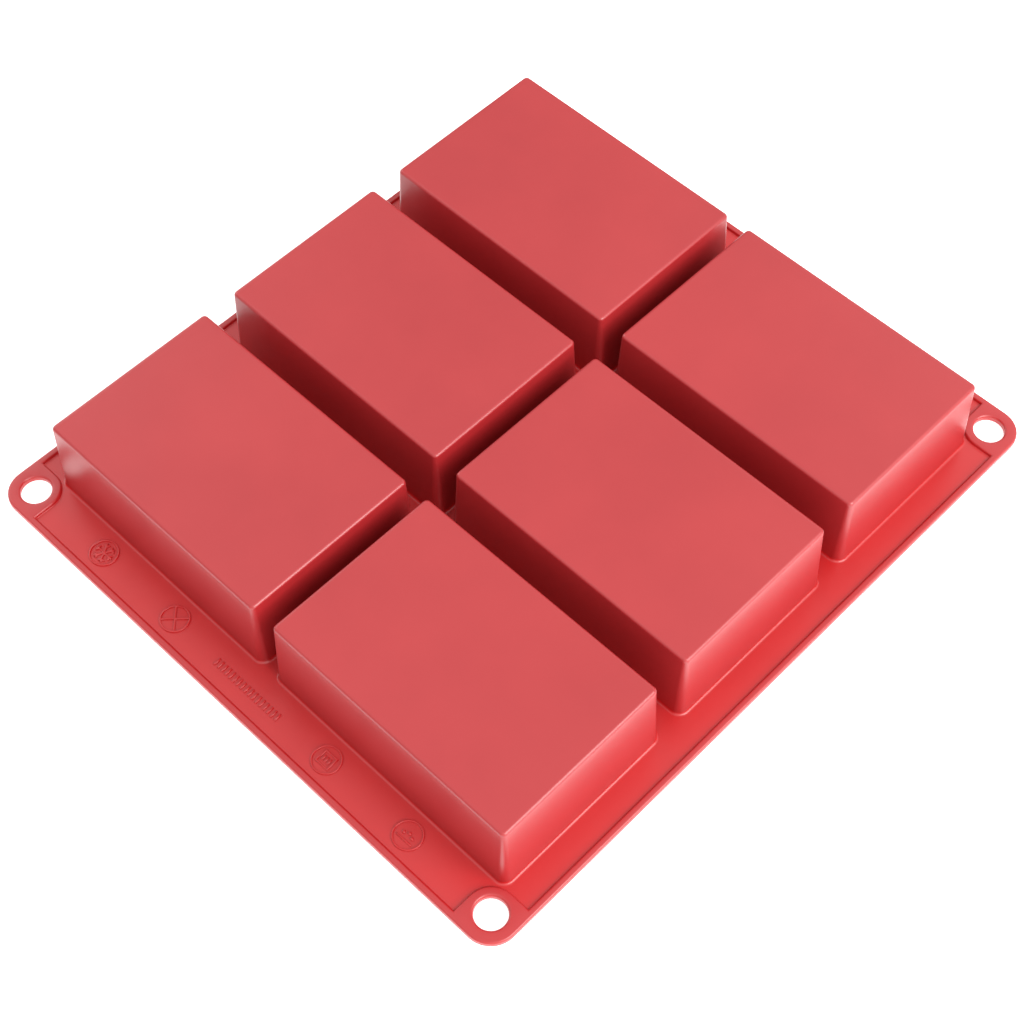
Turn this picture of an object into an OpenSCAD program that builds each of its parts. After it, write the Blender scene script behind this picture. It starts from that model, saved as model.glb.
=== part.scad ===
// Six-cavity bar soap mould: one soft silicone moulding, lying open side down.
// The node modules are the regions of that moulding, cut at its own design lines.
// Z = 0 is the flat open side. +Z comes out of the closed cup floors.
// X runs along the length of a cup. -Y is the front edge, which has the marks.

/* [Cups] */
// Outside length of a cup across its closed floor, along X
cup_length = 81; // [70:0.5:90]
// Outside width of a cup across its closed floor, along Y
cup_width = 54.2; // [45:0.1:60]
// Rise of the closed floor above the sheet
cup_rise = 25.8; // [15:0.1:35]
// How far a wall leans out from the closed floor down to the sheet
draft = 1.3; // [0.8:0.1:1.8]
// Thickness of the cup walls
wall_t = 1.6; // [1:0.1:2.2]
// Thickness of the closed floor
floor_t = 1.8; // [1:0.1:3]
// Radius of the upright corners at the closed floor
corner_r = 1.4; // [1.2:0.1:2.5]
// Radius of the same corners inside the cavity
cavity_corner_r = 0.8; // [0.6:0.1:1.2]
// Rounding of the outer edge round the closed floor
edge_r = 1; // [0.5:0.1:1.2]
// Rounding of the same edge inside the cavity
cavity_edge_r = 0.5; // [0.2:0.1:0.6]
// Fillet between a wall and the sheet
foot_r = 0.8; // [0.3:0.1:1.2]

/* [Layout] */
// Gap along X between two closed floors
gap_x = 7.2; // [6:0.1:12]
// Gap along Y between two closed floors
gap_y = 10.1; // [6:0.1:16]
// From an end cup's closed floor to the outer edge, along X
margin_x = 11.55; // [11:0.05:20]
// From an end cup's closed floor to the outer edge, along Y
margin_y = 16.25; // [15.9:0.05:24]

/* [Flange] */
// Thickness of the sheet that joins the cups
sheet_t = 1; // [0.6:0.1:1.4]
// Thickness of the rim bead and of the corner pads
rim_t = 2; // [1.8:0.1:3]
// Width of the rim bead
rim_w = 2; // [1.6:0.1:2.6]
// Rounding of the rim bead's upper edges
rim_round = 0.6; // [0.2:0.1:0.7]
// Radius of the outer corners
outer_r = 7.8; // [7.4:0.1:8]

/* [Hang holes] */
// Diameter of a hang hole
hole_d = 8.7; // [6:0.1:10]
// Radius of the pad on its inner side, from the hole's centre
pad_r = 7; // [6:0.1:7.2]

/* [Marks] */
// Outside diameter of a round care mark
mark_d = 8.4; // [7:0.1:9]
// Width of the raised lines
mark_line = 0.5; // [0.3:0.1:0.6]
// Height of the raised lines above the sheet
mark_h = 0.4; // [0.2:0.1:0.6]
// Distance between the centres of two neighbouring marks
mark_pitch = 29.6; // [26:0.1:32]
// From the front edge to the centres of the marks
mark_inset = 8.1; // [7.4:0.1:8.6]
// How much nearer than the marks the row of bars is to the front edge
bar_drop = 0.7; // [0:0.1:1]
// Length of the row of bars between the marks
bar_row = 24; // [12:1:30]
// Length of each bar in the row
bar_length = 2.4; // [1.5:0.1:3.5]
// How many bars the row has
bar_count = 17; // [8:1:21]

/* [Hidden] */
$fn = 64;
silicone_red = [0.8, 0.2, 0.22];

// The grid of cups
pitch_x = cup_length + gap_x;
pitch_y = cup_width + gap_y;
half_x = pitch_x / 2 + cup_length / 2 + margin_x;
half_y = pitch_y + cup_width / 2 + margin_y;
straight_x = cup_length - 2 * corner_r;
straight_y = cup_width - 2 * corner_r;
// From the axis of an outer corner in to that of the cavity's corner, along X and along Y
cavity_inset = wall_t + cavity_corner_r - corner_r;

// Heights
top_z = sheet_t + cup_rise;
ceiling_z = top_z - floor_t;

// The wall's section, measured out from the axis of an upright corner
lean = atan(draft / cup_rise);
crown_z = top_z - edge_r;
crown_x = wall_x(crown_z + edge_r * sin(lean)) - edge_r * cos(lean);
fillet_z = sheet_t + foot_r;
fillet_x = wall_x(fillet_z - foot_r * sin(lean)) + foot_r * cos(lean);
foot_x = corner_r + draft + foot_r;
inner_crown_z = ceiling_z - cavity_edge_r;
inner_crown_x = cavity_x(inner_crown_z + cavity_edge_r * sin(lean)) - cavity_edge_r * cos(lean);

// The holes
hole_x = half_x - outer_r;
hole_y = half_y - outer_r;

// The marks
mark_y = mark_inset - half_y;
bar_step = (bar_row - mark_line) / (bar_count - 1);

// A margin past a face, so that a cut leaves no skin
cut = 1;

// Distance of a cup's outer wall from its corner axis at height z
function wall_x(z) = corner_r + draft * (top_z - z) / cup_rise;

// Quarter of a disc, which rounds an edge and stays on its own side of the axis
module quarter(radius) {
    intersection() {
        circle(radius);
        square(radius);
    }
}

// Distance of the cavity's wall from its own corner axis at height z
function cavity_x(z) = wall_x(z) - wall_t + cavity_inset;

// Outer section of a cup with its foot, out from a corner axis
module outer_section() {
    difference() {
        union() {
            polygon([[0, 0], [foot_x, 0], [foot_x, sheet_t], [fillet_x, sheet_t],
                [fillet_x - foot_r * cos(lean), fillet_z - foot_r * sin(lean)],
                [crown_x + edge_r * cos(lean), crown_z + edge_r * sin(lean)],
                [crown_x, top_z], [0, top_z]]);
            translate([crown_x, crown_z]) quarter(edge_r);
        }
        translate([fillet_x, fillet_z]) circle(foot_r);
    }
}

// Section of the cavity, out from a corner axis, and from below the open side up
module cavity_section() {
    polygon([[0, -cut], [cavity_x(-cut), -cut],
        [inner_crown_x + cavity_edge_r * cos(lean), inner_crown_z + cavity_edge_r * sin(lean)],
        [inner_crown_x, ceiling_z], [0, ceiling_z]]);
    translate([inner_crown_x, inner_crown_z]) quarter(cavity_edge_r);
}

// A section run along a straight side of the given length
module side(length) {
    translate([0, length / 2, 0])
        rotate([90, 0, 0])
            linear_extrude(length) children();
}

// A block about its own centre, with a section run all round it.
// Its corner axes are length and width apart, and its middle is flat from bottom to top.
module block(length, width, bottom, top) {
    for (turn = [0, 180]) rotate(turn) {
        translate([length / 2, 0, 0]) side(width) children();
        rotate(90) translate([width / 2, 0, 0]) side(length) children();
        translate([length / 2, width / 2, 0]) rotate_extrude(angle = 90) children();
        translate([-length / 2, width / 2, 0]) rotate(90) rotate_extrude(angle = 90) children();
    }
    translate([-length / 2, -width / 2, bottom]) cube([length, width, top - bottom]);
}

// A whole cup about its own centre line
module cup_shape() {
    difference() {
        block(straight_x, straight_y, 0, top_z) outer_section();
        block(straight_x - 2 * cavity_inset, straight_y - 2 * cavity_inset, -cut, ceiling_z)
            cavity_section();
    }
}

// A cup in its place: column -1 is left and 1 is right, row -1 is front and 1 is back
module cup(column, row) {
    color(silicone_red)
        translate([column * pitch_x / 2, row * pitch_y, 0]) cup_shape();
}

// Outline of the hole that a cup's foot fills in the sheet
module foot_outline() {
    square([straight_x + 2 * foot_x, straight_y], center = true);
    square([straight_x, straight_y + 2 * foot_x], center = true);
    for (x = [-1, 1], y = [-1, 1])
        translate([x * straight_x / 2, y * straight_y / 2]) circle(foot_x);
}

// Outline of a pad about its hole, with its outer corner towards +X and +Y
module pad_outline() {
    circle(pad_r);
    translate([0, -pad_r]) square([outer_r + cut, pad_r + outer_r + cut]);
    translate([-pad_r, 0]) square([pad_r + outer_r + cut, outer_r + cut]);
}

// The thin sheet that joins the cups, rim and pads
module flange_sheet() {
    color(silicone_red)
        linear_extrude(sheet_t)
            difference() {
                square([2 * (half_x - rim_w), 2 * (half_y - rim_w)], center = true);
                for (column = [-1, 1], row = [-1, 0, 1])
                    translate([column * pitch_x / 2, row * pitch_y]) foot_outline();
                for (x = [0, 1], y = [0, 1])
                    mirror([x, 0]) mirror([0, y]) translate([hole_x, hole_y]) pad_outline();
            }
}

// Section of the rim bead, in from its outer face at X = 0
module bead_section() {
    translate([-rim_w, 0]) square([rim_w, rim_t - rim_round]);
    translate([rim_round - rim_w, 0]) square([rim_w - 2 * rim_round, rim_t]);
    for (x = [rim_round - rim_w, -rim_round])
        translate([x, rim_t - rim_round]) circle(rim_round);
}

// A straight stretch of bead along Y on the +X side, as long as the room between two pads
module bead(edge, length) {
    translate([edge, 0, 0]) side(length) bead_section();
}

// Rim bead on the left (-1) or the right (1)
module rim_side(side) {
    color(silicone_red)
        rotate(90 - 90 * side) bead(half_x, 2 * (hole_y - pad_r));
}

// Rim bead at the front (-1) or the back (1)
module rim_end(side) {
    color(silicone_red)
        rotate(90 * side) bead(half_y, 2 * (hole_x - pad_r));
}

// Half a pad's section, out from the hole's axis to the rounded outer edge
module pad_section() {
    square([outer_r, rim_t - rim_round]);
    square([outer_r - rim_round, rim_t]);
    translate([outer_r - rim_round, rim_t - rim_round]) circle(rim_round);
}

// A pad about its hole, with its outer corner towards +X and +Y
module pad_shape() {
    difference() {
        union() {
            rotate_extrude(angle = 90) pad_section();
            rotate([90, 0, 0]) linear_extrude(pad_r) pad_section();
            mirror([-1, 1, 0]) rotate([90, 0, 0]) linear_extrude(pad_r) pad_section();
            rotate(180) rotate_extrude(angle = 90) square([pad_r, rim_t]);
        }
        translate([0, 0, -cut]) cylinder(h = rim_t + 2 * cut, d = hole_d);
    }
}

// Corner pad: side_x is -1 left and 1 right, side_y is -1 front and 1 back
module pad(side_x, side_y) {
    color(silicone_red)
        mirror([side_x < 0 ? 1 : 0, 0, 0]) mirror([0, side_y < 0 ? 1 : 0, 0])
            translate([hole_x, hole_y, 0]) pad_shape();
}

// A raised mark on the front strip of the sheet, with its place counted in pitches
module raised_mark(place) {
    color(silicone_red)
        translate([place * mark_pitch, mark_y, sheet_t])
            linear_extrude(mark_h) children();
}

// The round border that all the care marks share
module mark_ring() {
    difference() {
        circle(d = mark_d);
        circle(d = mark_d - 2 * mark_line);
    }
}

// One straight line of a mark, about its own middle
module mark_stroke(length) {
    square([length, mark_line], center = true);
}

// Snowflake: may be frozen
module mark_snowflake() {
    raised_mark(-2) {
        mark_ring();
        for (turn = [0:60:120]) rotate(turn) mark_stroke(0.7 * mark_d);
        for (turn = [0:60:300], tilt = [-1, 1])
            rotate(turn) translate([0.24 * mark_d, 0])
                rotate(60 * tilt) translate([0.06 * mark_d, 0]) mark_stroke(0.12 * mark_d);
    }
}

// Crossed ring
module mark_crossed() {
    raised_mark(-1) {
        mark_ring();
        for (turn = [45, 135]) rotate(turn) mark_stroke(mark_d - mark_line);
    }
}

// Oven door with its window and three lines of heat
module mark_oven() {
    raised_mark(1) {
        mark_ring();
        difference() {
            square([0.54 * mark_d, 0.5 * mark_d], center = true);
            square([0.54 * mark_d - 2 * mark_line, 0.5 * mark_d - 2 * mark_line], center = true);
        }
        for (x = [-1:1])
            translate([0.12 * mark_d * x, 0]) rotate(90) mark_stroke(0.2 * mark_d);
    }
}

// Drops over a plate: may be washed by machine
module mark_drops() {
    raised_mark(2) {
        mark_ring();
        translate([0, -0.18 * mark_d]) mark_stroke(0.6 * mark_d);
        for (x = [-1:1])
            translate([0.17 * mark_d * x, 0.08 * mark_d * (1 - abs(x))]) circle(d = 0.11 * mark_d);
    }
}

// A row of plain equal bars
module mark_bars() {
    raised_mark(0)
        for (i = [0:bar_count - 1])
            translate([(mark_line - bar_row) / 2 + bar_step * i, -bar_drop])
                rotate(90) mark_stroke(bar_length);
}

flange_sheet();
rim_end(-1);  // rim_front
rim_end(1);  // rim_back
rim_side(-1);  // rim_left
rim_side(1);  // rim_right
pad(-1, -1);  // pad_front_left
pad(1, -1);  // pad_front_right
pad(-1, 1);  // pad_back_left
pad(1, 1);  // pad_back_right
cup(-1, -1);  // cup_front_left
cup(1, -1);  // cup_front_right
cup(-1, 0);  // cup_middle_left
cup(1, 0);  // cup_middle_right
cup(-1, 1);  // cup_back_left
cup(1, 1);  // cup_back_right
mark_snowflake();
mark_crossed();
mark_oven();
mark_drops();
mark_bars();
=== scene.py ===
"""Red silicone mould for six rectangular bars of soap, lying open side down.

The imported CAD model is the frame. Each region of the one moulding is rebuilt here as a closed
mesh with soft edges. Neighbours share their seam points, so the moulding reads as one skin.
"""
import math

import bmesh
import bpy
from mathutils import Matrix, Vector
from mathutils.geometry import delaunay_2d_cdt


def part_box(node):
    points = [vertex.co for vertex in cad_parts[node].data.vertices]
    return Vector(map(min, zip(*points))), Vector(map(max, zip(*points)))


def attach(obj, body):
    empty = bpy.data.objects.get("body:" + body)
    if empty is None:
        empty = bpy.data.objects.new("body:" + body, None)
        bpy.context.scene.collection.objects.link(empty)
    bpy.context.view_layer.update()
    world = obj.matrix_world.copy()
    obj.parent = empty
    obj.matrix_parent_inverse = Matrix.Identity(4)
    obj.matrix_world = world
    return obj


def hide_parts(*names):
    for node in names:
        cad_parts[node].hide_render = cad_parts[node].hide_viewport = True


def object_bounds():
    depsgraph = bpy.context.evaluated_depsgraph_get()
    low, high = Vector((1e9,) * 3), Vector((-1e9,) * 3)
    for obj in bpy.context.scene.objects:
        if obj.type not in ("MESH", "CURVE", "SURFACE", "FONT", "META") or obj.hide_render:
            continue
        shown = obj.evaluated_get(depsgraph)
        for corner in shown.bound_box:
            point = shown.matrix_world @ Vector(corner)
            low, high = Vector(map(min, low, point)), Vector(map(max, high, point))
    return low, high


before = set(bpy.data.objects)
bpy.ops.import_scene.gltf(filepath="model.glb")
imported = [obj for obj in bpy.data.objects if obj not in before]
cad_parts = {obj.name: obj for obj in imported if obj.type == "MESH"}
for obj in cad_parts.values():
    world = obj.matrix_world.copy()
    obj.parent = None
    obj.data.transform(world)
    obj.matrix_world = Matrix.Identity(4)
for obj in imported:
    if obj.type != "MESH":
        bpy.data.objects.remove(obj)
cad_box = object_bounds()

MM = 0.001
BODY = "root"

# ---------------------------------------------------------------- sizes of the moulding
CORNER_R = 1.4 * MM         # upright corners of a cup at its closed floor
CAVITY_CORNER_R = 0.8 * MM  # the same corners inside the cavity
DRAFT = 1.3 * MM            # how far a wall leans out from the floor to the sheet
FOOT_R = 0.8 * MM           # fillet between a wall and the sheet
EDGE_R = 1.0 * MM           # outer edge round a closed floor
CAVITY_EDGE_R = 0.5 * MM    # the same edge inside the cavity
MOUTH_R = 0.5 * MM          # edge round a cavity's mouth
WALL_T = 1.6 * MM
FLOOR_T = 1.8 * MM
OUTER_R = 7.8 * MM          # outer corners of the flange
HOLE_R = 4.35 * MM
RIM_W = 2.0 * MM            # width of the bead
RIM_ROUND = 0.6 * MM        # upper edges of the bead and pads
RIM_UNDER = 0.3 * MM        # lower outer edge of the bead and pads
RIM_FILLET = 0.25 * MM      # where the bead and pads meet the sheet
LIP_R = 0.70 * MM           # upper edge of a hang hole
SEAM_FLAT = 0.1 * MM        # flat band past a fillet, which gives both sides of a seam one normal
MARK_SOFTEN = 0.15 * MM     # rounding on the raised marks

# ---------------------------------------------------------------- how finely the meshes are cut
ARC_STEPS = 10              # round each upright corner
EDGE_STEPS = 8              # round each soft edge
FINE_STEPS = 5              # round each small edge
WALL_STEPS = 8              # up each wall
SIDE_STEPS_X = 24           # along each straight side
SIDE_STEPS_Y = 16
SHEET_GRID = 3.0 * MM       # spacing of the sheet's inner points
BORDER_GAP = 0.4 * SHEET_GRID     # the least room between those points and the sheet's borders
SHARP_ANGLE = math.radians(42)
WELD = 1e-6                 # vertices closer than this are one vertex
TINY = 1e-7                 # edges shorter than this are dropped

CUPS = [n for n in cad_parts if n.startswith("cup_")]
PADS = [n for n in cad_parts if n.startswith("pad_")]
RIMS = [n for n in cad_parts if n.startswith("rim_")]
MARKS = [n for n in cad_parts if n.startswith("mark_")]

SHEET_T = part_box("flange_sheet")[1].z
RIM_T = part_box("rim_front")[1].z
TOP_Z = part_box(CUPS[0])[1].z
HALF_X = cad_box[1].x
HALF_Y = cad_box[1].y
HOLE_X = HALF_X - OUTER_R
HOLE_Y = HALF_Y - OUTER_R
PAD_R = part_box("pad_back_right")[1].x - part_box("pad_back_right")[0].x - OUTER_R


# ---------------------------------------------------------------- mesh helpers
def arc(centre, radius, start, end, steps):
    """Points on an arc from one angle to another, in degrees, both ends kept."""
    out = []
    for i in range(steps + 1):
        a = math.radians(start + (end - start) * i / steps)
        out.append((centre[0] + radius * math.cos(a), centre[1] + radius * math.sin(a)))
    return out


def line(start, end, steps):
    """Points along a line after its start, up to and with its end."""
    return [tuple(a + (b - a) * i / steps for a, b in zip(start, end)) for i in range(1, steps + 1)]


def bridge(count, lower, upper, faces, closed=True):
    """Quads between two runs of vertices of the same count, which start at these indices."""
    for i in range(count if closed else count - 1):
        j = (i + 1) % count
        faces.append((lower + i, lower + j, upper + j, upper + i))


def without_repeats(loop):
    """A closed loop less the points that repeat the one before them."""
    return [p for i, p in enumerate(loop) if (Vector(p) - Vector(loop[i - 1])).length > TINY]


def inside(point, loop):
    """Is the point inside the closed loop?"""
    x, y = point
    odd = False
    for i, (bx, by) in enumerate(loop):
        ax, ay = loop[i - 1]
        if (ay > y) != (by > y) and x < ax + (bx - ax) * (y - ay) / (by - ay):
            odd = not odd
    return odd


def flat_fill(outer, holes, spots=()):
    """Triangles inside a loop and outside the holes in it, as points (x, y) and index triples."""
    points, edges = [], []
    for loop in [outer] + holes:
        start = len(points)
        points += [Vector(p) / MM for p in loop]
        edges += [(start + i, start + (i + 1) % len(loop)) for i in range(len(loop))]
    points += [Vector(p) / MM for p in spots]
    flat = delaunay_2d_cdt(points, edges, [], 0, WELD)
    corners = [tuple(p * MM) for p in flat[0]]
    triangles = []
    for face in flat[2]:
        middle = [sum(corners[i][k] for i in face) / len(face) for k in (0, 1)]
        if inside(middle, outer) and not any(inside(middle, hole) for hole in holes):
            triangles.append(tuple(face))
    return corners, triangles


def make_piece(name, verts, faces, nodes):
    """A closed smooth mesh which stands for the given CAD nodes."""
    mesh = bpy.data.meshes.new(name)
    mesh.from_pydata(verts, [], faces)
    bm = bmesh.new()
    bm.from_mesh(mesh)
    bmesh.ops.remove_doubles(bm, verts=bm.verts, dist=WELD)
    bmesh.ops.dissolve_degenerate(bm, edges=bm.edges, dist=TINY)
    bmesh.ops.recalc_face_normals(bm, faces=bm.faces)
    bm.to_mesh(mesh)
    bm.free()
    return finish_piece(name, mesh, nodes)


def finish_piece(name, mesh, nodes):
    """Shades a mesh smooth between its sharp edges and ties it to the frame."""
    mesh.shade_smooth()
    mesh.set_sharp_from_angle(angle=SHARP_ANGLE)
    mesh.materials.append(SILICONE)
    piece = bpy.data.objects.new(name, mesh)
    bpy.context.scene.collection.objects.link(piece)
    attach(piece, BODY)
    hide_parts(*nodes)
    return piece


# ---------------------------------------------------------------- material
# Painted light: the sheet, and a little the walls' feet, are painted a deeper red. It stands in for
# floor light shining through the thin silicone and bouncing between sheet and walls. This painted
# glow goes by height.
GLOW_FADE_Z = 13.0 * MM          # above this height the colour is the same all the way up
GLOW_FADE_STEPS = ((1.50 * MM / GLOW_FADE_Z, 0.0), (1.95 * MM / GLOW_FADE_Z, 0.65), (1.0, 1.0))
# The first pair of reds is a painted glow for the sheet and the walls' feet; the second pair is the
# silicone's own red.
PAINTED_GLOW_REDS = ((0.425, 0.0082, 0.0092, 1), (0.455, 0.0105, 0.0115, 1))
BODY_REDS = ((0.340, 0.0160, 0.0190, 1), (0.372, 0.0205, 0.0230, 1))
CLOUD_RANGE = (0.32, 0.70)  # where the cloudy colour turns from its dark red to its light red
ROUGHNESS = (0.28, 0.37)
IOR = 1.45
SPECULAR = 0.85
MIX_A, MIX_B, MIX_RESULT = 6, 7, 2    # a Mix node's colour sockets, which share their names


def node_kit(owner):
    """Short ways to add and join nodes in a material or a world."""
    tree = owner.node_tree

    def add(kind, **settings):
        node = tree.nodes.new(kind)
        for key, value in settings.items():
            if key in node.inputs.keys():
                node.inputs[key].default_value = value
            else:
                setattr(node, key, value)
        return node

    return add, tree.links.new


def silicone_material():
    """Satin red silicone: cloudy colour, a deeper red painted low down as a glow of light through
    the thin sheet, uneven polish, faint flow, fine grain.
    """
    material = bpy.data.materials.new("silicone_red")
    material.use_nodes = True
    material.node_tree.nodes.clear()
    add, join = node_kit(material)
    output = add("ShaderNodeOutputMaterial")
    shader = add("ShaderNodeBsdfPrincipled")
    join(shader.outputs["BSDF"], output.inputs["Surface"])
    shader.inputs["IOR"].default_value = IOR
    shader.inputs["Specular IOR Level"].default_value = SPECULAR

    place = add("ShaderNodeTexCoord")

    clouds = add("ShaderNodeTexNoise", Scale=28.0, Detail=4.0, Roughness=0.55)
    join(place.outputs["Object"], clouds.inputs["Vector"])
    tints = []
    for dark, light in (PAINTED_GLOW_REDS, BODY_REDS):
        tint = add("ShaderNodeValToRGB")
        for stop, position, red in zip(tint.color_ramp.elements, CLOUD_RANGE, (dark, light)):
            stop.position = position
            stop.color = red
        join(clouds.outputs["Fac"], tint.inputs["Fac"])
        tints.append(tint.outputs["Color"])
    # Painted glow by height: the deeper red low down fades to the silicone's own red above.
    parts = add("ShaderNodeSeparateXYZ")
    join(place.outputs["Object"], parts.inputs["Vector"])
    share = add("ShaderNodeMath", operation="DIVIDE")
    join(parts.outputs["Z"], share.inputs[0])
    share.inputs[1].default_value = GLOW_FADE_Z
    height = add("ShaderNodeValToRGB")
    height.color_ramp.elements.new(0.5)
    for stop, (position, value) in zip(height.color_ramp.elements, GLOW_FADE_STEPS):
        stop.position = position
        stop.color = (value, value, value, 1)
    join(share.outputs["Value"], height.inputs["Fac"])
    blend = add("ShaderNodeMix", data_type="RGBA")
    join(height.outputs["Color"], blend.inputs["Factor"])
    join(tints[0], blend.inputs[MIX_A])
    join(tints[1], blend.inputs[MIX_B])
    join(blend.outputs[MIX_RESULT], shader.inputs["Base Color"])

    polish = add("ShaderNodeTexNoise", Scale=60.0, Detail=5.0, Roughness=0.6)
    join(place.outputs["Object"], polish.inputs["Vector"])
    gloss = add("ShaderNodeMapRange")
    gloss.inputs["To Min"].default_value, gloss.inputs["To Max"].default_value = ROUGHNESS
    join(polish.outputs["Fac"], gloss.inputs["Value"])
    join(gloss.outputs["Result"], shader.inputs["Roughness"])

    flow = add("ShaderNodeTexNoise", Scale=45.0, Detail=2.0, Roughness=0.5)
    grain = add("ShaderNodeTexNoise", Scale=1500.0, Detail=1.0, Roughness=0.5)
    join(place.outputs["Object"], flow.inputs["Vector"])
    join(place.outputs["Object"], grain.inputs["Vector"])
    waves = add("ShaderNodeBump", Strength=0.2, Distance=0.0004)
    skin = add("ShaderNodeBump", Strength=0.05, Distance=0.00003)
    join(flow.outputs["Fac"], waves.inputs["Height"])
    join(grain.outputs["Fac"], skin.inputs["Height"])
    join(waves.outputs["Normal"], skin.inputs["Normal"])
    join(skin.outputs["Normal"], shader.inputs["Normal"])
    return material


SILICONE = silicone_material()


# ---------------------------------------------------------------- cups
LEAN = math.atan(DRAFT / (TOP_Z - SHEET_T))
FOOT_REACH = CORNER_R + DRAFT + FOOT_R
CAVITY_INSET = WALL_T + CAVITY_CORNER_R - CORNER_R    # between outer and inner corner axes
CEILING_Z = TOP_Z - FLOOR_T


def wall_reach(z):
    """Distance of a cup's outer wall from its corner axis at height z."""
    return CORNER_R + DRAFT * (TOP_Z - z) / (TOP_Z - SHEET_T)


def rounding_centre(side_reach, z, radius, lift):
    """Centre of a rounding at height z, tangent to a leaning wall on the side given by lift."""
    touch_z = z + lift * radius * math.sin(LEAN)
    return side_reach(touch_z) - lift * radius * math.cos(LEAN), z


def cup_sections():
    """The outer and inner sections of a cup as (reach, z), from the middle of its floor and back."""
    lean = math.degrees(LEAN)

    def inner_reach(z):
        return wall_reach(z) - WALL_T + CAVITY_INSET

    crown = rounding_centre(wall_reach, TOP_Z - EDGE_R, EDGE_R, 1)
    fillet = rounding_centre(wall_reach, SHEET_T + FOOT_R, FOOT_R, -1)
    mouth = rounding_centre(inner_reach, MOUTH_R, MOUTH_R, -1)
    ceiling = rounding_centre(inner_reach, CEILING_Z - CAVITY_EDGE_R, CAVITY_EDGE_R, 1)

    edge = arc(crown, EDGE_R, 90, lean, EDGE_STEPS)
    foot = arc(fillet, FOOT_R, 180 + lean, 270, EDGE_STEPS)
    outer = [(0, TOP_Z)] + edge + line(edge[-1], foot[0], WALL_STEPS)[:-1] + foot
    outer += [(FOOT_REACH + SEAM_FLAT, SHEET_T), (FOOT_REACH + SEAM_FLAT, 0)]
    lip = arc(mouth, MOUTH_R, 270, 180 + lean, FINE_STEPS)
    top = arc(ceiling, CAVITY_EDGE_R, lean, 90, FINE_STEPS)
    inner = lip + line(lip[-1], top[0], WALL_STEPS)[:-1] + top + [(0, CEILING_Z)]
    return outer, inner


def cup_ring(core, reach):
    """Points round a cup at one reach from its corner axes, anticlockwise from +X."""
    points = []
    corners = [(1, 1, 0), (-1, 1, 90), (-1, -1, 180), (1, -1, 270)]
    for i, (sx, sy, start) in enumerate(corners):
        points += arc((sx * core.x, sy * core.y), reach, start, start + 90, ARC_STEPS)
        nx, ny, turn = corners[(i + 1) % 4]
        ahead = arc((nx * core.x, ny * core.y), reach, turn, turn, 1)[0]
        steps = SIDE_STEPS_X if sy == ny else SIDE_STEPS_Y
        points += line(points[-1], ahead, steps)[:-1]
    return points


def cup_core(node):
    """Centre of a cup, and half the size of the rectangle between its corner axes."""
    low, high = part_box(node)
    centre = (low + high) / 2
    core = (high - low) / 2 - Vector((FOOT_REACH, FOOT_REACH, 0))
    return centre, core


def add_cup(node):
    centre, outer_core = cup_core(node)
    inner_core = outer_core - Vector((CAVITY_INSET, CAVITY_INSET, 0))
    outer, inner = cup_sections()
    levels = [(outer_core, reach, z) for reach, z in outer]
    levels += [(inner_core, reach, z) for reach, z in inner]
    verts, faces = [], []
    count = len(cup_ring(outer_core, 0))
    for i, (core, reach, z) in enumerate(levels):
        verts += [(centre.x + x, centre.y + y, z) for x, y in cup_ring(core, reach)]
        if i:
            bridge(count, (i - 1) * count, i * count, faces)
    for core, z in ((outer_core, TOP_Z), (inner_core, CEILING_Z)):
        base = len(verts)
        for j in range(SIDE_STEPS_Y + 1):
            y = core.y * (2 * j / SIDE_STEPS_Y - 1)
            for i in range(SIDE_STEPS_X + 1):
                verts.append((centre.x + core.x * (2 * i / SIDE_STEPS_X - 1), centre.y + y, z))
        for j in range(SIDE_STEPS_Y):
            row = base + j * (SIDE_STEPS_X + 1)
            bridge(SIDE_STEPS_X + 1, row, row + SIDE_STEPS_X + 1, faces, closed=False)
    return make_piece(node + "_skin", verts, faces, [node])


# ---------------------------------------------------------------- rim bead and corner pads
TOE = RIM_FILLET + SEAM_FLAT        # how far the bead and pads reach over the sheet
JOINT = PAD_R + TOE                 # from a hole's centre to where the bead starts
SPAN_X = HOLE_X - JOINT             # half the length of the front and back beads
SPAN_Y = HOLE_Y - JOINT             # half the length of the left and right beads
RIM_STEPS = 48                      # along each bead
RIM_SIDE_STEPS = 3                  # up the bead's free side
PAD_STEPS = 4                       # along each straight side of a pad
HOLE_STEPS = 64                     # round each hang hole


def edge_levels():
    """The rim's section from the top down, as (inset, z) at its free side and its sheet side."""
    crown = arc((RIM_ROUND, RIM_T - RIM_ROUND), RIM_ROUND, 90, 180, EDGE_STEPS)
    under = arc((RIM_UNDER, RIM_UNDER), RIM_UNDER, 180, 270, FINE_STEPS)
    fillet = arc((-RIM_FILLET, SHEET_T + RIM_FILLET), RIM_FILLET, 0, -90, FINE_STEPS)
    free = crown + line(crown[-1], under[0], RIM_SIDE_STEPS)[:-1] + under
    sheet = crown + fillet + [(-TOE, SHEET_T), (-TOE, 0)]
    return list(zip(free, sheet))


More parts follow.
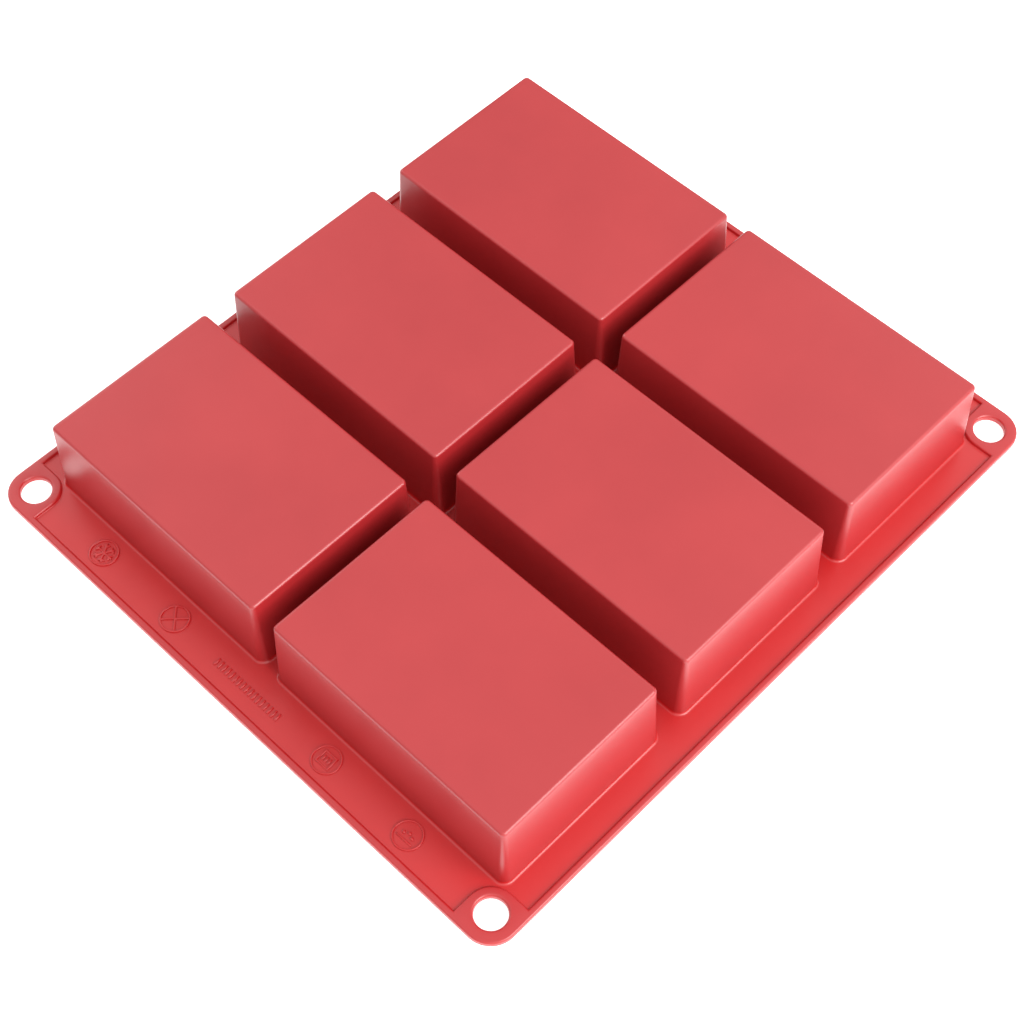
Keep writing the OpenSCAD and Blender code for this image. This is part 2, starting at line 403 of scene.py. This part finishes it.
def pad_ring(free, sheet):
    """Points round a corner pad at one level, about its hole, with its outer corner at +X +Y."""
    edge, edge_z = OUTER_R - free[0], free[1]
    bead, flank, sheet_z = OUTER_R - RIM_W + sheet[0], PAD_R - sheet[0], sheet[1]
    outer = arc((0, 0), edge, 0, 90, ARC_STEPS) + line((0, edge), (-JOINT, edge), PAD_STEPS)
    inner = [(-JOINT, bead), (-flank, bead)]
    inner += line((-flank, bead), (-flank, 0), PAD_STEPS + 1)
    inner += arc((0, 0), flank, 180, 270, ARC_STEPS)[1:]
    inner += line((0, -flank), (bead, -flank), PAD_STEPS + 1) + [(bead, -JOINT)]
    last = [(edge, -JOINT)] + line((edge, -JOINT), (edge, 0), PAD_STEPS)[:-1]
    ring = [(x, y, edge_z) for x, y in outer]
    ring += [(x, y, sheet_z) for x, y in inner]
    return ring + [(x, y, edge_z) for x, y in last]


def sheet_side_of_pad():
    """The part of a pad's outline that meets the sheet, from the back bead to the right bead."""
    ring = pad_ring(*edge_levels()[-1])
    start = ARC_STEPS + 1 + PAD_STEPS
    count = 2 * (PAD_STEPS + 1) + ARC_STEPS + 3
    return [(x, y) for x, y, z in ring[start:start + count]]


def hole_section():
    """A hang hole's section as (radius, z), from its lower lip up to its upper lip."""
    section = arc((HOLE_R + RIM_UNDER, RIM_UNDER), RIM_UNDER, 270, 180, FINE_STEPS)
    return section + arc((HOLE_R + LIP_R, RIM_T - LIP_R), LIP_R, 180, 90, EDGE_STEPS)


def add_pad(node):
    low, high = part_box(node)
    side_x = math.copysign(1, low.x + high.x)
    side_y = math.copysign(1, low.y + high.y)
    rings = [pad_ring(*level) for level in edge_levels()]
    bore = [[(x, y, z) for x, y in arc((0, 0), r, 0, 360, HOLE_STEPS)[:-1]]
            for r, z in hole_section()]
    verts, faces = [], []
    for run in (rings, bore):
        count = len(run[0])
        for i, ring in enumerate(run):
            if i:
                bridge(count, len(verts) - count, len(verts), faces)
            verts += ring
    for ring, lip in ((rings[0], bore[-1]), (rings[-1], bore[0])):
        outline = without_repeats([(x, y) for x, y, z in ring])
        corners, triangles = flat_fill(outline, [[(x, y) for x, y, z in lip]])
        faces += [tuple(len(verts) + i for i in t) for t in triangles]
        verts += [(x, y, lip[0][2]) for x, y in corners]
    verts = [(side_x * (HOLE_X + x), side_y * (HOLE_Y + y), z) for x, y, z in verts]
    return make_piece(node + "_skin", verts, faces, [node])


def add_rim(node):
    """A straight bead between two pads, swept along its edge with flat ends."""
    low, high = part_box(node)
    along_x = high.x - low.x > high.y - low.y
    side = math.copysign(1, low.y + high.y if along_x else low.x + high.x)
    half, span = (HALF_Y, SPAN_X) if along_x else (HALF_X, SPAN_Y)
    levels = edge_levels()
    section = [(half - inset, z) for (inset, z), _ in levels]
    section += [(half - RIM_W + inset, z) for _, (inset, z) in reversed(levels)]
    count = len(section)
    verts, faces = [], []
    for i in range(RIM_STEPS + 1):
        run = span * (2 * i / RIM_STEPS - 1)
        for reach, z in section:
            verts.append((run, side * reach, z) if along_x else (side * reach, run, z))
        if i:
            bridge(count, (i - 1) * count, i * count, faces)
    for base in (0, RIM_STEPS * count):
        for k in range(len(levels) - 1):
            far = count - 1 - k
            faces.append((base + k, base + k + 1, base + far - 1, base + far))
    return make_piece(node + "_skin", verts, faces, [node])


# ---------------------------------------------------------------- sheet
def sheet_outline():
    """The sheet's outer edge, clockwise from the back bead's right end."""
    path = sheet_side_of_pad()
    outline = []
    corners = [(1, 1, False), (1, -1, True), (-1, -1, False), (-1, 1, True)]
    for i, (sx, sy, back) in enumerate(corners):
        points = [(sx * (HOLE_X + x), sy * (HOLE_Y + y)) for x, y in path]
        points = points[::-1] if back else points
        outline += points
        nx, ny, _ = corners[(i + 1) % 4]
        end = (points[-1][0] * nx * sx, points[-1][1] * ny * sy)
        outline += line(points[-1], end, RIM_STEPS)[:-1]
    return outline


def add_sheet(node):
    """The thin sheet: triangles between the rim, the pads and the feet of the cups."""
    outer = without_repeats(sheet_outline())
    feet = []
    for cup in CUPS:
        centre, core = cup_core(cup)
        ring = cup_ring(core, FOOT_REACH + SEAM_FLAT)
        feet.append(without_repeats([(centre.x + x, centre.y + y) for x, y in ring]))

    border = [Vector(p) for loop in [outer] + feet for p in loop]
    spots = []
    for j in range(int(2 * HALF_Y / SHEET_GRID)):
        for i in range(int(2 * HALF_X / SHEET_GRID)):
            spot = Vector(((i + 0.5) * SHEET_GRID - HALF_X, (j + 0.5) * SHEET_GRID - HALF_Y))
            if inside(spot, outer) and not any(inside(spot, foot) for foot in feet):
                if min((spot - p).length for p in border) > BORDER_GAP:
                    spots.append(spot)
    corners, triangles = flat_fill(outer, feet, spots)
    count = len(corners)
    verts = [(x, y, SHEET_T) for x, y in corners] + [(x, y, 0) for x, y in corners]
    faces = triangles + [tuple(count + i for i in reversed(t)) for t in triangles]
    sides = {}
    for t in triangles:
        for i in range(len(t)):
            a, b = t[i - 1], t[i]
            if sides.pop((b, a), None) is None:
                sides[(a, b)] = True
    faces += [(b, a, count + a, count + b) for a, b in sides]
    return make_piece(node + "_skin", verts, faces, [node])


# ---------------------------------------------------------------- raised marks
MARK_WELD = 2e-6
MARK_FLAT = math.radians(1)         # faces that turn less than this are one face
MARK_BEND = 1.0                     # least angle, in radians, of an edge that is softened
MARK_SEGMENTS = 3


def add_mark(node):
    """A raised mark with its upper edges softened."""
    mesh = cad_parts[node].data.copy()
    mesh.name = node + "_skin"
    mesh.materials.clear()
    bm = bmesh.new()
    bm.from_mesh(mesh)
    bmesh.ops.remove_doubles(bm, verts=bm.verts, dist=MARK_WELD)
    bmesh.ops.dissolve_limit(bm, angle_limit=MARK_FLAT, verts=bm.verts, edges=bm.edges)
    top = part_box(node)[1].z
    rims = [e for e in bm.edges if all(abs(v.co.z - top) < WELD for v in e.verts)
            and len(e.link_faces) == 2 and e.calc_face_angle(0) > MARK_BEND]
    bmesh.ops.bevel(bm, geom=rims, offset=MARK_SOFTEN, offset_type="OFFSET",
                    segments=MARK_SEGMENTS, profile=0.5, affect="EDGES", clamp_overlap=True)
    bmesh.ops.recalc_face_normals(bm, faces=bm.faces)
    bm.to_mesh(mesh)
    bm.free()
    return finish_piece(node + "_skin", mesh, [node])


# ---------------------------------------------------------------- stage
FLOOR_HALF = 2.5
FLOOR_DROP = 0.02 * MM      # keeps the floor clear of the moulding's underside
FLOOR_GREY = (0.9, 0.9, 0.9, 1)
FLOOR_ROUGHNESS = 0.7
FLOOR_GLOW = 0.6
STUDIO_GLOWS = [((0, 0, 1), 1.24), ((1, 0, 0), 0.92), ((0, -1, 0), 0.30)]   # direction, strength
LIGHTS = {                  # place, size and power of each soft light, which all face the middle
    "key": ((0.9, 0.1, 0.7), (0.8, 0.8), 12.9),
    "back": ((0.0, 1.1, 0.7), (1.0, 0.8), 2.2),
    "left": ((-1.1, 0.0, 0.6), (0.9, 0.8), 4.5),
}
CAMERA_PLACE = Vector((0.21499, -0.21932, 0.44500))
CAMERA_AIM = Vector((0.01046, -0.01267, 0.0))
CAMERA_ROLL = math.radians(0.527)
CAMERA_LENS = 67.92         # on a sensor of this width, both in mm
CAMERA_SENSOR = 36


def add_floor():
    mesh = bpy.data.meshes.new("floor")
    corners = [(-1, -1), (1, -1), (1, 1), (-1, 1)]
    mesh.from_pydata([(x * FLOOR_HALF, y * FLOOR_HALF, 0) for x, y in corners], [], [(0, 1, 2, 3)])
    floor = bpy.data.objects.new("floor", mesh)
    floor.location.z = -FLOOR_DROP
    bpy.context.scene.collection.objects.link(floor)
    material = bpy.data.materials.new("pale_floor")
    material.use_nodes = True
    shader = material.node_tree.nodes["Principled BSDF"]
    shader.inputs["Base Color"].default_value = FLOOR_GREY
    shader.inputs["Roughness"].default_value = FLOOR_ROUGHNESS
    shader.inputs["Emission Color"].default_value = (1, 1, 1, 1)
    shader.inputs["Emission Strength"].default_value = FLOOR_GLOW
    mesh.materials.append(material)


def add_light(name, place, size, power):
    """A soft white light at a place, turned towards the middle of the frame."""
    data = bpy.data.lights.new(name, "AREA")
    data.shape = "RECTANGLE"
    data.size, data.size_y = size
    data.energy = power
    light = bpy.data.objects.new(name, data)
    light.location = place
    light.rotation_euler = (-Vector(place)).to_track_quat("-Z", "Y").to_euler()
    bpy.context.scene.collection.objects.link(light)


def add_world(glows):
    """A white studio, brighter the nearer a direction is to each of the glows' own directions."""
    world = bpy.data.worlds.new("studio")
    bpy.context.scene.world = world
    world.use_nodes = True
    add, join = node_kit(world)
    background = world.node_tree.nodes["Background"]
    background.inputs["Color"].default_value = (1, 1, 1, 1)
    place = add("ShaderNodeTexCoord")
    total = None
    for direction, strength in glows:
        share = add("ShaderNodeVectorMath", operation="DOT_PRODUCT")
        share.inputs[1].default_value = Vector(direction) * strength
        join(place.outputs["Generated"], share.inputs[0])
        lit = add("ShaderNodeMath", operation="MAXIMUM")
        join(share.outputs["Value"], lit.inputs[0])
        lit.inputs[1].default_value = 0
        if total:
            both = add("ShaderNodeMath", operation="ADD")
            join(total, both.inputs[0])
            join(lit.outputs["Value"], both.inputs[1])
            lit = both
        total = lit.outputs["Value"]
    join(total, background.inputs["Strength"])


def add_camera():
    data = bpy.data.cameras.new("camera")
    data.sensor_width = CAMERA_SENSOR
    data.lens = CAMERA_LENS
    camera = bpy.data.objects.new("camera", data)
    look = (CAMERA_AIM - CAMERA_PLACE).normalized()
    turn = Matrix.Rotation(CAMERA_ROLL, 4, look) @ look.to_track_quat("-Z", "Y").to_matrix().to_4x4()
    camera.matrix_world = Matrix.Translation(CAMERA_PLACE) @ turn
    bpy.context.scene.collection.objects.link(camera)
    bpy.context.scene.camera = camera


add_camera()
for cup in CUPS:
    add_cup(cup)
for pad in PADS:
    add_pad(pad)
for rim in RIMS:
    add_rim(rim)
add_sheet("flange_sheet")
for mark in MARKS:
    add_mark(mark)
add_floor()
add_world(STUDIO_GLOWS)
for name, (place, size, power) in LIGHTS.items():
    add_light(name, place, size, power)
bpy.context.scene.view_settings.view_transform = "Standard"
